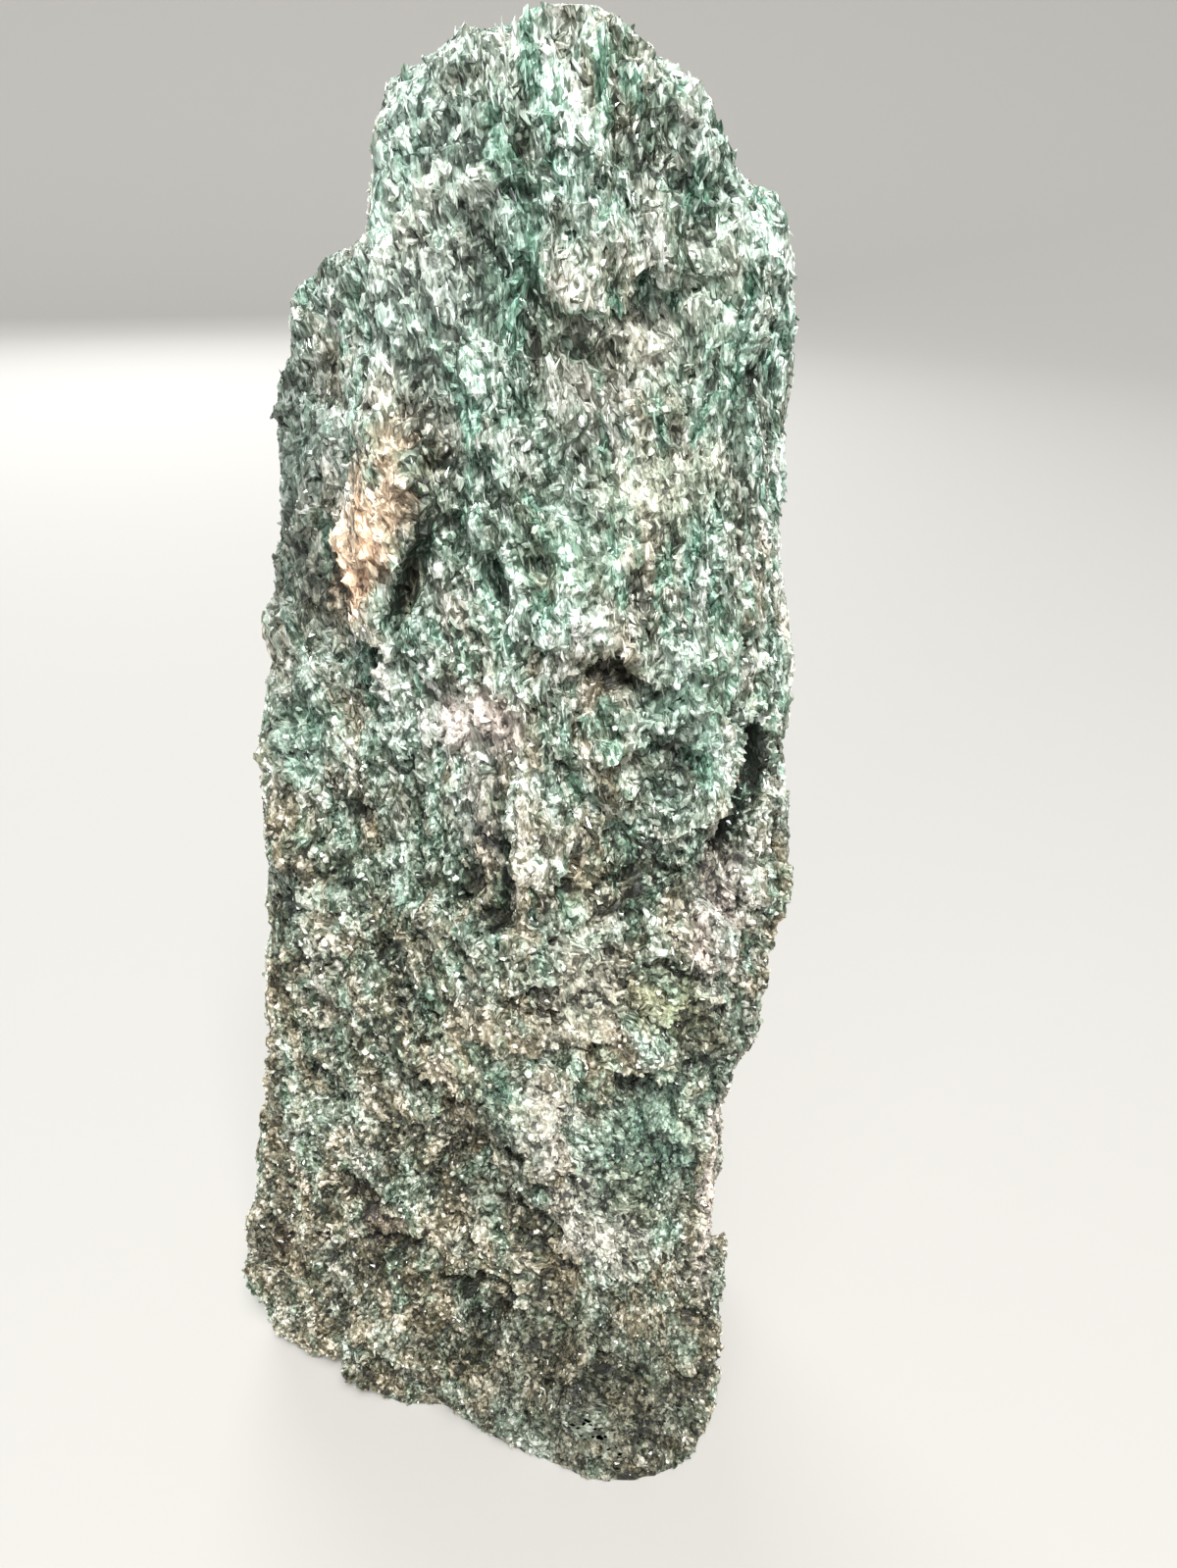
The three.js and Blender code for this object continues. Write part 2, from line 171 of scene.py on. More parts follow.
def finish_tree(tree, geometry, material):
    """Ends a tree: keeps all within the solid's box, makes instances real and sets the material."""
    real = add(tree, "GeometryNodeRealizeInstances", {"Geometry": geometry})
    place = add(tree, "GeometryNodeInputPosition").outputs[0]
    raised = add(tree, "ShaderNodeVectorMath", {0: place, 1: tuple(low_corner)}, operation="MAXIMUM")
    boxed = add(tree, "ShaderNodeVectorMath", {
        0: raised.outputs[0], 1: tuple(high_corner)}, operation="MINIMUM")
    kept = add(tree, "GeometryNodeSetPosition", {
        "Geometry": real.outputs[0], "Position": boxed.outputs[0]})
    dressed = add(tree, "GeometryNodeSetMaterial", {
        "Geometry": kept.outputs[0], "Material": material})
    add(tree, "NodeGroupOutput", {"Geometry": dressed.outputs[0]})


def run_tree(obj, tree, values, name):
    """Puts the tree on an object, sets its inputs, and returns the plain mesh that it makes."""
    modifier = obj.modifiers.new(tree.name, "NODES")
    modifier.node_group = tree
    for item in tree.interface.items_tree:
        if item.item_type == "SOCKET" and item.in_out == "INPUT" and item.name in values:
            modifier[item.identifier] = values[item.name]
    mesh = plain_mesh(obj, name)
    obj.modifiers.remove(modifier)
    return mesh


# %% Patterns that lean, and values that change with height
LEAN = 0.16
BEND_MM = 14.0
BEND_CELL = (22, 22, 30)
FOOT_ENDS = 0.08
CROWN_STARTS = 0.21
EDGE_ON = 0.2
FACE_ON = 0.7
EDGE_SHARE = 0.35


def noise(tree, place, cell, detail, roughness=0.5):
    """A noise pattern with cells of the given size in mm."""
    scaled = add(tree, "ShaderNodeVectorMath", {0: place, 1: per_mm(*cell)}, operation="MULTIPLY")
    return add(tree, "ShaderNodeTexNoise", {
        "Vector": scaled.outputs[0], "Scale": 1.0, "Detail": detail, "Roughness": roughness})


def leaning(tree, place):
    """The place, slid sideways, so that upright patterns lean and bend like the sheets do."""
    parts = add(tree, "ShaderNodeSeparateXYZ", {0: place})
    slide = add(tree, "ShaderNodeMath", {0: parts.outputs["Z"], 1: LEAN}, operation="MULTIPLY")
    bend = add(tree, "ShaderNodeMath", {
        0: noise(tree, place, BEND_CELL, 1.0).outputs[0], 1: BEND_MM * MM, 2: slide.outputs[0]},
        operation="MULTIPLY_ADD")
    across = add(tree, "ShaderNodeMath", {0: parts.outputs["X"], 1: bend.outputs[0]}, operation="ADD")
    return add(tree, "ShaderNodeCombineXYZ", {
        "X": across.outputs[0], "Y": parts.outputs["Y"], "Z": parts.outputs["Z"]}).outputs[0]


def by_height(tree, rise, at_foot, at_crown):
    """A value that goes from at_foot to at_crown over the height of the stone."""
    return add(tree, "ShaderNodeMapRange", {
        "Value": rise, "From Min": FOOT_ENDS, "From Max": CROWN_STARTS,
        "To Min": at_foot, "To Max": at_crown}).outputs[0]


def facing(tree, outward):
    """1 on the front and the back, less on the flanks and the top, where the sheets end."""
    parts = add(tree, "ShaderNodeSeparateXYZ", {0: outward})
    along = add(tree, "ShaderNodeMath", {0: parts.outputs["Y"]}, operation="ABSOLUTE").outputs[0]
    return add(tree, "ShaderNodeMapRange", {
        "Value": along, "From Min": EDGE_ON, "From Max": FACE_ON,
        "To Min": EDGE_SHARE, "To Max": 1.0}).outputs[0]


# %% The relief tree
LAYERS = [
    # name, pattern, cell size in mm along X, Y and Z, height in mm near the foot and near the crown
    ("blocks", "VORONOI", (12.0, 8.0, 10.0), 3.2, 1.5),
    ("long sheets", "NOISE", (4.5, 6.0, 36.0), 2.0, 4.4),
    ("scales of rock", "VORONOI", (6.0, 4.5, 13.0), 2.4, 2.3),
    ("ledges", "VORONOI", (4.0, 2.6, 4.4), 2.6, 1.7),
    ("flakes", "VORONOI", (2.2, 1.6, 2.8), 1.6, 1.4),
    ("grit", "NOISE", (2.4, 2.4, 3.0), 1.8, 1.5),
]

# %% [markdown]
# The patterns can't know where this stone has its own marks, so those are listed: each is a
# raised or sunken egg, given by its middle, half-widths in millimetres, how many degrees it is
# turned anticlockwise seen from the front, and its height. The dark crack near the foot is a very
# flat sunken one. Hardly any light reaches the bottom of the deepest ones, so the tree keeps how
# deep each point lies in them as a second attribute, gap, from which the colours paint shade
# there.

# %% Forms in known places
FORMS = [
    # name, middle, half-widths, turn, height
    ("crack near the foot", (1.2, -29, 43.8), (9, 9, 2.5), 18, -6.0),
    ("hole in the flank", (44.5, -17, 153.5), (2, 8, 5.5), 0, -6.0),
    ("slot under the hole", (40.7, -22, 145), (1.6, 8, 5.5), -20, -5.0),
    ("slot above the middle", (4.8, -26.5, 183.5), (1.5, 7, 6), 8, -3.6),
    ("pit above the middle", (11, -28.7, 187.3), (2.2, 7, 2.4), -35, -2.8),
    ("dark gap in the crown", (9.5, -25, 217), (1.4, 8, 10), 4, -2.4),
    ("step beside the peach ridge", (-7.5, -22, 183), (2.4, 8, 12), -20, -3.6),
    ("groove down the shoulder", (-19.4, -14, 211), (1.5, 8, 9), 0, -3.0),
    ("groove on the right", (30, -22.6, 212), (1.6, 8, 12), 8, -3.0),
    ("upright ridge in the middle", (9, -30, 140), (1.2, 8, 26), 0, 2.2),
    ("groove beside it", (5.6, -29, 140), (1.3, 8, 24), 0, -2.8),
    ("upright ridge at the left", (-5.8, -23, 150), (1.1, 8, 18), 0, 1.8),
    ("groove at its left", (-8.8, -22, 150), (1.2, 8, 16), 0, -2.4),
    ("hollow in the middle", (21, -27, 171.5), (3, 8, 2.6), 20, -2.0),
    ("shelf under the left ledge", (-16.5, -22, 47.5), (9, 8, 1.8), 6, -3.2),
    ("crack by the diagonal ridge", (6.6, -30.6, 80), (7, 8, 1.4), -35, -2.6),
]

print(len(FORMS), "forms are listed, the deepest", -min(form[-1] for form in FORMS), "mm deep")

# %% Lay the layers over each other
schist = bpy.data.materials.new("fuchsite mica schist, freshly broken")
relief = new_geometry_tree("Broken faces", {"Strength": "Float", "Foot Height": "Float"})
wanted = add(relief, "NodeGroupInput").outputs
place = add(relief, "GeometryNodeInputPosition").outputs[0]
level = add(relief, "ShaderNodeSeparateXYZ", {0: place}).outputs["Z"]
leant = leaning(relief, place)
outward = add(relief, "GeometryNodeInputNormal").outputs["Normal"]
height = 0.0
for layer, pattern, cell, foot_mm, crown_mm in LAYERS:
    spot = add(relief, "ShaderNodeVectorMath", {
        0: leant, 1: per_mm(*cell)}, operation="MULTIPLY", label=layer)
    if pattern == "VORONOI":
        cells = add(relief, "ShaderNodeTexVoronoi", {"Vector": spot.outputs[0], "Scale": 1.0})
        value = add(relief, "ShaderNodeSeparateXYZ", {0: cells.outputs["Color"]}).outputs["X"]
    else:
        value = add(relief, "ShaderNodeTexNoise", {"Vector": spot.outputs[0], "Scale": 1.0}).outputs[0]
    centred = add(relief, "ShaderNodeMath", {0: value, 1: 0.5}, operation="SUBTRACT")
    tall = by_height(relief, level, foot_mm * MM, crown_mm * MM)
    height = add(relief, "ShaderNodeMath", {
        0: centred.outputs[0], 1: tall, 2: height}, operation="MULTIPLY_ADD").outputs[0]


# %% Add the forms
def egg(tree, place, middle, half, turn):
    """How far a place is from the middle of an egg, where 1 is its surface."""
    away = add(tree, "ShaderNodeVectorMath", {
        0: place, 1: tuple(v * MM for v in middle)}, operation="SUBTRACT")
    turned = add(tree, "ShaderNodeVectorRotate", {
        "Vector": away.outputs[0], "Angle": math.radians(turn)}, rotation_type="Y_AXIS")
    scaled = add(tree, "ShaderNodeVectorMath", {
        0: turned.outputs[0], 1: per_mm(*half)}, operation="MULTIPLY")
    return add(tree, "ShaderNodeVectorMath", {0: scaled.outputs[0]}, operation="LENGTH").outputs["Value"]


DEEP_MM = 4.0
EGG_RIM = 1.2
EGG_CORE = 0.4
in_gaps = 0.0
for form, middle, half, turn, tall in FORMS:
    near = add(relief, "ShaderNodeMapRange", {
        "Value": egg(relief, place, middle, half, turn), "From Min": EGG_RIM, "From Max": EGG_CORE,
        "To Min": 0.0, "To Max": tall * MM}, interpolation_type="SMOOTHSTEP", label=form)
    height = add(relief, "ShaderNodeMath", {
        0: height, 1: near.outputs[0]}, operation="ADD").outputs[0]
    # Forms deeper than DEEP_MM also count towards gap, where the colours paint shade.
    if tall <= -DEEP_MM:
        in_gaps = add(relief, "ShaderNodeMath", {
            0: in_gaps, 1: near.outputs[0]}, operation="ADD").outputs[0]

# %% Move the skin and keep what the colours need
FLAT_FOOT_MM = 0.2
PROUD_MM = 1.2
HOLLOW_MM = -4.0
GAP_STARTS_MM = -0.3
GAP_DARK_MM = -2.0
above_foot = add(relief, "ShaderNodeMapRange", {
    "Value": level, "From Min": FLAT_FOOT_MM * MM, "From Max": wanted["Foot Height"]})
gentle = add(relief, "ShaderNodeMath", {0: height, 1: above_foot.outputs[0]}, operation="MULTIPLY")
strong = add(relief, "ShaderNodeMath", {0: gentle.outputs[0], 1: wanted["Strength"]}, operation="MULTIPLY")
flanked = add(relief, "ShaderNodeMath", {
    0: strong.outputs[0], 1: facing(relief, outward)}, operation="MULTIPLY")
push = add(relief, "ShaderNodeVectorMath", {0: outward, "Scale": flanked.outputs[0]}, operation="SCALE")
moved = add(relief, "GeometryNodeSetPosition", {"Geometry": wanted["Geometry"], "Offset": push.outputs[0]})
# hollow is kept for the colours, which paint low places darker, partly as dirt and partly as painted shade,
# and proud places paler as painted light.
hollow = add(relief, "ShaderNodeMapRange", {
    "Value": height, "From Min": PROUD_MM * MM, "From Max": HOLLOW_MM * MM}).outputs[0]
# gap is kept for the colours, which paint the bottoms of the deepest forms near black as painted shade.
gap = add(relief, "ShaderNodeMapRange", {
    "Value": in_gaps, "From Min": GAP_STARTS_MM * MM, "From Max": GAP_DARK_MM * MM}).outputs[0]
noted = moved
for note, value in (("hollow", hollow), ("gap", gap)):
    noted = add(relief, "GeometryNodeStoreNamedAttribute", {
        "Geometry": noted.outputs[0], "Name": note, "Value": value}, data_type="FLOAT", domain="POINT")
finish_tree(relief, noted.outputs[0], schist)
print("the relief tree has", len(relief.nodes), "nodes in", len(LAYERS), "layers")

# %% Push the relief out of the skin
stone.data = run_tree(stone, relief, {"Strength": 1.0, "Foot Height": 8 * MM}, "broken stone")
print("the stone has", triangle_count(stone.data), "triangles")

# %% [markdown]
# ## Flakes, slivers and grains
#
# What makes fuchsite glitter is that each flake is a small flat mirror at its own tilt. Bump
# can't do that at the outline or in a hollow, so they are real. A **flake** is a five-sided
# plate, thinner than a fingernail. A **sliver** is a long low pyramid of six triangles, the edge
# of a broken sheet. A **grain** of quartz or feldspar is a small ball of twenty faces. All their
# corners are nudged so that no two are alike.
#
# One tree strews all three. They lie along the sheets of the rock: on the front you see their
# faces and on the flanks their edges. Near the foot they are tilted every way, and near the crown
# they stand upright. Each keeps one random number, its shade, which picks its colour.

# %% Where the small solids lie, how they are turned, and their sizes
BARE_FOOT_MM = 0.9
BARE_HOLLOW = 0.68
FOOT_LOOSENESS = 1.7
TOWARDS_FRONT = (0.6, 1.0, 0.6)


def strewn_points(tree, given, rise):
    """Points all over the stone, but none on its flat foot or deep in a hollow."""
    points = add(tree, "GeometryNodeDistributePointsOnFaces", {
        "Mesh": given["Geometry"], "Seed": given["Seed"],
        "Density": by_height(tree, rise, given["Density at Foot"], given["Density at Crown"])})
    at_foot = add(tree, "FunctionNodeCompare", {0: rise, 1: BARE_FOOT_MM * MM}, operation="LESS_THAN")
    hollow = add(tree, "GeometryNodeInputNamedAttribute", {"Name": "hollow"}, data_type="FLOAT")
    deep = add(tree, "FunctionNodeCompare", {
        0: hollow.outputs[0], 1: BARE_HOLLOW}, operation="GREATER_THAN")
    unwanted = add(tree, "FunctionNodeBooleanMath", {
        0: at_foot.outputs[0], 1: deep.outputs[0]}, operation="OR")
    kept = add(tree, "GeometryNodeDeleteGeometry", {
        "Geometry": points.outputs["Points"], "Selection": unwanted.outputs[0]}, domain="POINT")
    return kept.outputs[0], points.outputs["Normal"]


def turns(tree, given, rise, outward, face_on):
    """Flat face outward and drawn towards the front or back by the sheets, then tilted at random."""
    drawn = add(tree, "ShaderNodeVectorMath", {0: outward, 1: TOWARDS_FRONT}, operation="MULTIPLY")
    upright = add(tree, "FunctionNodeEulerToRotation", {0: (math.radians(90), -math.atan(LEAN), 0)})
    turned = add(tree, "FunctionNodeAlignRotationToVector", {
        "Rotation": upright.outputs[0], "Vector": drawn.outputs[0]}, axis="Z")
    looseness = by_height(tree, rise, FOOT_LOOSENESS, 1.0)
    most = add(tree, "ShaderNodeVectorMath", {
        0: given["Tilt"], "Scale": looseness}, operation="SCALE").outputs[0]
    most = add(tree, "ShaderNodeVectorMath", {0: most, "Scale": face_on}, operation="SCALE").outputs[0]
    least = add(tree, "ShaderNodeVectorMath", {0: most, "Scale": -1.0}, operation="SCALE").outputs[0]
    tilt = add(tree, "FunctionNodeRandomValue", {
        0: least, 1: most, "Seed": given["Seed"]}, data_type="FLOAT_VECTOR")
    tilt = add(tree, "FunctionNodeEulerToRotation", {0: tilt.outputs[0]})
    return add(tree, "FunctionNodeRotateRotation", {
        "Rotation": turned.outputs[0], "Rotate By": tilt.outputs[0]}, rotation_space="LOCAL").outputs[0]


def sizes(tree, given, rise, face_on):
    """A random size: wider near the foot, longer near the crown, and small where sheets end."""
    size = add(tree, "FunctionNodeRandomValue", {
        0: given["Smallest"], 1: given["Largest"], "Seed": given["Seed"]}, data_type="FLOAT_VECTOR")
    drawn_out = add(tree, "ShaderNodeCombineXYZ", {
        "X": by_height(tree, rise, 1.05, 0.6), "Y": by_height(tree, rise, 0.8, 1.25), "Z": 1.0})
    size = add(tree, "ShaderNodeVectorMath", {
        0: size.outputs[0], 1: drawn_out.outputs[0]}, operation="MULTIPLY")
    return add(tree, "ShaderNodeVectorMath", {
        0: size.outputs[0], "Scale": face_on}, operation="SCALE").outputs[0]


# %% The tree that strews small solids
def scatter_tree(name, blank, material):
    """A tree that strews small solids, made by blank(tree), over a surface."""
    tree = new_geometry_tree(name, {
        "Density at Foot": "Float", "Density at Crown": "Float", "Smallest": "Vector", "Largest": "Vector",
        "Tilt": "Vector", "Sink": "Float", "Nudge": "Float", "Darkest": "Float", "Palest": "Float",
        "Seed": "Int"})
    given = add(tree, "NodeGroupInput").outputs
    place = add(tree, "GeometryNodeInputPosition").outputs[0]
    rise = add(tree, "ShaderNodeSeparateXYZ", {0: place}).outputs["Z"]
    points, outward = strewn_points(tree, given, rise)
    face_on = facing(tree, outward)
    strewn = add(tree, "GeometryNodeInstanceOnPoints", {
        "Points": points, "Instance": blank(tree),
        "Rotation": turns(tree, given, rise, outward, face_on),
        "Scale": sizes(tree, given, rise, face_on)})
    inward = add(tree, "ShaderNodeMath", {0: given["Sink"], 1: -1.0}, operation="MULTIPLY")
    down = add(tree, "ShaderNodeCombineXYZ", {"Z": inward.outputs[0]})
    sunk = add(tree, "GeometryNodeTranslateInstances", {
        "Instances": strewn.outputs[0], "Translation": down.outputs[0]})
    shade = add(tree, "FunctionNodeRandomValue", {
        2: given["Darkest"], 3: given["Palest"], "Seed": given["Seed"]}, data_type="FLOAT")
    marked = add(tree, "GeometryNodeStoreNamedAttribute", {
        "Geometry": sunk.outputs[0], "Name": "shade", "Value": shade.outputs[1]},
        data_type="FLOAT", domain="INSTANCE")
    # The corners are nudged once the solids are real, so that no two solids are alike.
    real = add(tree, "GeometryNodeRealizeInstances", {"Geometry": marked.outputs[0]})
    least = add(tree, "ShaderNodeMath", {0: given["Nudge"], 1: -1.0}, operation="MULTIPLY")
    shift = add(tree, "FunctionNodeRandomValue", {
        0: least.outputs[0], 1: given["Nudge"], "Seed": given["Seed"]}, data_type="FLOAT_VECTOR")
    nudged = add(tree, "GeometryNodeSetPosition", {"Geometry": real.outputs[0], "Offset": shift.outputs[0]})
    finish_tree(tree, nudged.outputs[0], material)
    return tree


# %% Three blanks
def flake_blank(tree):
    """A five-sided plate, one unit across and one thick, a little smaller on its outer face."""
    cone = add(tree, "GeometryNodeMeshCone", {
        "Vertices": 5, "Radius Top": 0.38, "Radius Bottom": 0.5, "Depth": 1.0})
    return add(tree, "GeometryNodeTransform", {
        "Geometry": cone.outputs[0], "Translation": (0, 0, -0.5)}).outputs[0]


def sliver_blank(tree):
    """A four-sided pyramid, one unit across its base and one high."""
    cone = add(tree, "GeometryNodeMeshCone", {
        "Vertices": 4, "Radius Top": 0.0, "Radius Bottom": 0.5, "Depth": 1.0})
    return add(tree, "GeometryNodeTransform", {
        "Geometry": cone.outputs[0], "Translation": (0, 0, -0.5)}).outputs[0]


def grain_blank(tree):
    """A ball of twenty faces, one unit across."""
    return add(tree, "GeometryNodeMeshIcoSphere", {"Radius": 0.5, "Subdivisions": 1}).outputs[0]


# %% Strew one piece
skin_area = sum(p.area for p in stone.data.polygons)
print("the broken stone has", round(skin_area * 1e4), "cm2 of surface")


def strew(tree, name, count, foot_share, smallest, largest, tilt, sink, nudge, shades, seed):
    """Strews about count solids on the stone as one new piece. Sizes in mm, tilt in degrees."""
    ground = bpy.data.objects.new("ground_for_" + name, stone.data)
    bpy.context.scene.collection.objects.link(ground)
    mesh = run_tree(ground, tree, {
        "Density at Foot": 2 * foot_share * count / skin_area,
        "Density at Crown": 2 * (1 - foot_share) * count / skin_area,
        "Smallest": tuple(v * MM for v in smallest),
        "Largest": tuple(v * MM for v in largest),
        "Tilt": tuple(math.radians(a) for a in tilt),
        "Sink": sink * MM,
        "Nudge": nudge * MM,
        "Darkest": shades[0],
        "Palest": shades[1],
        "Seed": seed,
    }, name)
    bpy.data.objects.remove(ground)
    piece = bpy.data.objects.new(name, mesh)
    bpy.context.scene.collection.objects.link(piece)
    print(name, "has", triangle_count(mesh), "triangles")
    return piece


# %% Flakes and slivers
mica = bpy.data.materials.new("fuchsite mica flakes")
flake_tree = scatter_tree("Mica flakes", flake_blank, mica)
sliver_tree = scatter_tree("Mica slivers", sliver_blank, mica)
flakes = [
    strew(flake_tree, f"mica_flakes_{n + 1}", 11000, 0.5, (0.6, 0.9, 0.3), (1.8, 3.0, 0.5),
          (22, 22, 35), 0.1, 0.12, (0.22, 0.7), 11 + n)
    for n in range(3)
]
# The slivers reach the palest shades: pale thin mica, and partly painted glints.
slivers = strew(sliver_tree, "mica_slivers", 31000, 0.42, (0.35, 1.1, 0.35), (0.85, 3.2, 0.65),
                (18, 18, 10), 0.05, 0.08, (0.3, 0.95), 31)

# %% Grains, more of them near the foot
quartz = bpy.data.materials.new("quartz and feldspar grains")
grain_tree = scatter_tree("Quartz grains", grain_blank, quartz)
grains = strew(grain_tree, "quartz_grains", 8200, 0.8, (0.6, 0.7, 0.5), (1.9, 2.1, 1.4),
               (180, 180, 180), 0.1, 0.13, (0.38, 0.88), 5)
pieces = [stone, *flakes, slivers, grains]

# %% [markdown]
# ## Colours
#
# Three materials share one colour rule, so that a flake and the rock under it agree. The rule
# takes a shade from 0 to 1 and looks it up in four scales: **emerald**, the pure mica that shows
# in a few streaks, **fresh**, from the near black green of thick mica to the mint of thin mica,
# **plain**, the grey of mica and quartz together, and **olive**, the warmer grey of weathered
# rock. They differ in tint far less than in lightness.
#
# Slow noise decides how much of each there is. Higher up the stone is fresher and greener, and
# near the foot it is plainer and more olive. Deep places are painted darker, partly as dirt and
# partly as painted shade where less light reaches, proud places are painted a little paler as
# painted light, and the bottoms of the deepest cracks and holes are painted near black as painted
# shade. The crown is painted paler and the foot darker, as painted light from above. A few broad
# parts of the face are a little paler or darker than the rest. Then come the stains that the
# photograph shows in known places: peach and cream feldspar, emerald mica and brown weathering,
# with a brown shadow painted under the lip and painted shade on the brown ledge.

# %% Colours from hex values
def linear(hex_colour):
    """An sRGB hex value as Blender's linear colour with full alpha."""
    values = [int(hex_colour[i:i + 2], 16) / 255 for i in (1, 3, 5)]
    return (*[v / 12.92 if v <= 0.04045 else ((v + 0.055) / 1.055) ** 2.4 for v in values], 1.0)


# The top of each scale is near white: pale thin mica and quartz, and partly painted glints that stand in
# for the flakes' sparkle.
STOPS = (0.0, 0.2, 0.45, 0.7, 0.88, 1.0)
EMERALD = ("#07180f", "#1c4030", "#467761", "#8db5a2", "#c9dfd4", "#f4f9f6")
FRESH = ("#0a170e", "#2a3d2f", "#617768", "#a2b4a8", "#d3ddd6", "#f5f8f6")
PLAIN = ("#14160e", "#393d32", "#6e7266", "#adafa5", "#dadad2", "#f9f8f5")
OLIVE = ("#171408", "#3e3926", "#756e58", "#b4aa95", "#dfd5c5", "#fbf6ed")

# %% [markdown]
# The stains are measured from the photograph: a middle and half-widths in millimetres, a turn in
# degrees, a colour, and how strongly it covers. Their edges are broken up by bending the
# coordinates with noise before the distance is taken, so none of them looks like an egg.

# %% The stains
STAINS = [
    # name, middle, half-widths, turn, colour, strength
    ("grey shoulder", (-30, -10, 192), (14, 18, 36), 0, "#474e45", 0.7),
    ("pale mint sheets", (-5, -20, 230), (9, 14, 22), 0, "#cfe0d5", 0.3),
    ("dark rock at the foot", (23, -38, 22), (30, 16, 28), 0, "#4f503f", 0.55),
    ("peach feldspar", (-14.5, -21, 186), (4.5, 12, 18), -20, "#dfb898", 0.72),
    ("peach at the lower left", (-17, -20, 52), (5, 8, 5), 0, "#cdb7a0", 0.5),
    ("pink quartz", (2.4, -26, 162), (6, 10, 7), 0, "#e2d2ca", 0.6),
    ("grey quartz", (1, -28, 146), (5, 10, 9), 0, "#8b8580", 0.5),
    ("emerald mica at the foot", (31, -29, 82), (11, 12, 22), -8, "#7a9d8b", 0.55),
    ("green mica above", (14, -28, 192), (9, 10, 9), -20, "#557f6a", 0.5),
    ("green mica at the step", (34, -22, 215), (6, 10, 13), 0, "#5b8670", 0.45),
    ("green mica at the flank", (36, -26, 168), (7, 10, 12), 0, "#557f6a", 0.5),
    ("green mica at the left", (-27, -16, 155), (9, 10, 6), 0, "#557f6a", 0.35),
    ("green mica beside the ridge", (6, -33, 92), (7, 10, 14), 0, "#557f6a", 0.35),
    ("green mica in the crown", (7, -22, 226), (4, 10, 14), 0, "#557f6a", 0.4),
    ("yellow stain", (34, -28, 114), (6, 8, 6), 0, "#cfc99a", 0.45),
    ("cream feldspar at mid height", (19, -31, 119), (7, 8, 11), 0, "#ddd3c0", 0.5),
    ("cream lip", (27, -22, 217), (8, 8, 4), 0, "#e6e1d2", 0.5),
    ("cream patch", (28, -25, 197), (8, 8, 7), 0, "#dbd4bb", 0.4),
    ("pink side", (40, -25, 128), (4, 8, 15), 0, "#dfd0c8", 0.5),
    ("pale edge at the foot", (46, -22, 66), (3.5, 14, 26), 0, "#eaddd2", 0.6),
    ("pale ridge, upper part", (13, -35, 92), (4.5, 8, 11), 0, "#d9d4c8", 0.5),
    ("pale ridge, lower part", (23, -35, 66), (5, 8, 15), 35, "#dcd7ca", 0.55),
    ("brown hollow", (20, -27, 171), (7, 8, 5), 0, "#5c4d38", 0.6),
    # a brown shadow painted under the lip, where light from above doesn't reach
    ("brown shadow painted under the lip", (17, -24, 212), (8, 8, 6), 0, "#5f5545", 0.45),
    ("brown pocket at the left", (-41.7, -8, 28), (8, 9, 5), 0, "#6a5941", 0.55),
    # brown weathering on the left ledge, with painted shade under it
    ("brown ledge with painted shade", (-16.5, -22, 48), (8, 8, 3.5), 0, "#5f5440", 0.45),
    ("brown patch low down", (0, -31, 66), (9, 9, 7), 0, "#5f5744", 0.35),
]

# %% Start the colour rule
colours = bpy.data.node_groups.new("Fuchsite colours", "ShaderNodeTree")
colours.interface.new_socket("Shade", in_out="INPUT", socket_type="NodeSocketFloat")
colours.interface.new_socket("Color", in_out="OUTPUT", socket_type="NodeSocketColor")
asked_shade = add(colours, "NodeGroupInput").outputs["Shade"]
spot = add(colours, "ShaderNodeTexCoord").outputs["Object"]
rise = add(colours, "ShaderNodeSeparateXYZ", {0: spot}).outputs["Z"]
leant = leaning(colours, spot)

# %% Noise for the tints and for the lightness
def spread(tree, value, low, high, to_low, to_high):
    """Stretches a value from one range to another, and clamps it there."""
    return add(tree, "ShaderNodeMapRange", {
        "Value": value, "From Min": low, "From Max": high, "To Min": to_low, "To Max": to_high}).outputs[0]


def total(tree, *values, clamp=False):
    """The sum of the values, kept within 0 to 1 where clamp is set."""
    whole = values[0]
    for value in values[1:]:
        whole = add(tree, "ShaderNodeMath", {
            0: whole, 1: value}, operation="ADD", use_clamp=clamp).outputs[0]
    return whole


tints = noise(colours, leant, (9, 7, 20), 3.0, 0.55)
tint_parts = add(colours, "ShaderNodeSeparateColor", {0: tints.outputs["Color"]}).outputs
fresh_share = total(colours, spread(colours, tint_parts[0], 0.38, 0.62, -0.5, 0.5),
                    by_height(colours, rise, 0.1, 0.5), clamp=True)
olive_share = total(colours, spread(colours, tint_parts[1], 0.38, 0.62, -0.5, 0.5),
                    by_height(colours, rise, 0.85, 0.15), clamp=True)
streaks = noise(colours, leant, (3.4, 4, 12), 2.0, 0.5).outputs[0]
emerald_share = spread(colours, streaks, 0.51, 0.67, 0.0, by_height(colours, rise, 0.35, 0.75))
patches = noise(colours, leant, (9, 7, 17), 5.0, 0.8).outputs[0]
hollow = add(colours, "ShaderNodeAttribute", attribute_name="hollow").outputs["Fac"]

# Flakes too small to model: upright streaks near the crown and round grains near the foot. The
# real ones are under half a millimetre, and these are drawn a little coarser so that they show.
thin_leaves = noise(colours, leant, (0.7, 0.7, 4.0), 2.0, 0.8).outputs[0]
fine_grains = noise(colours, leant, (0.8, 0.8, 1.2), 2.0, 0.8).outputs[0]
fine = add(colours, "ShaderNodeMix", {
    "Factor": by_height(colours, rise, 0.1, 0.9), 2: fine_grains, 3: thin_leaves}).outputs[0]
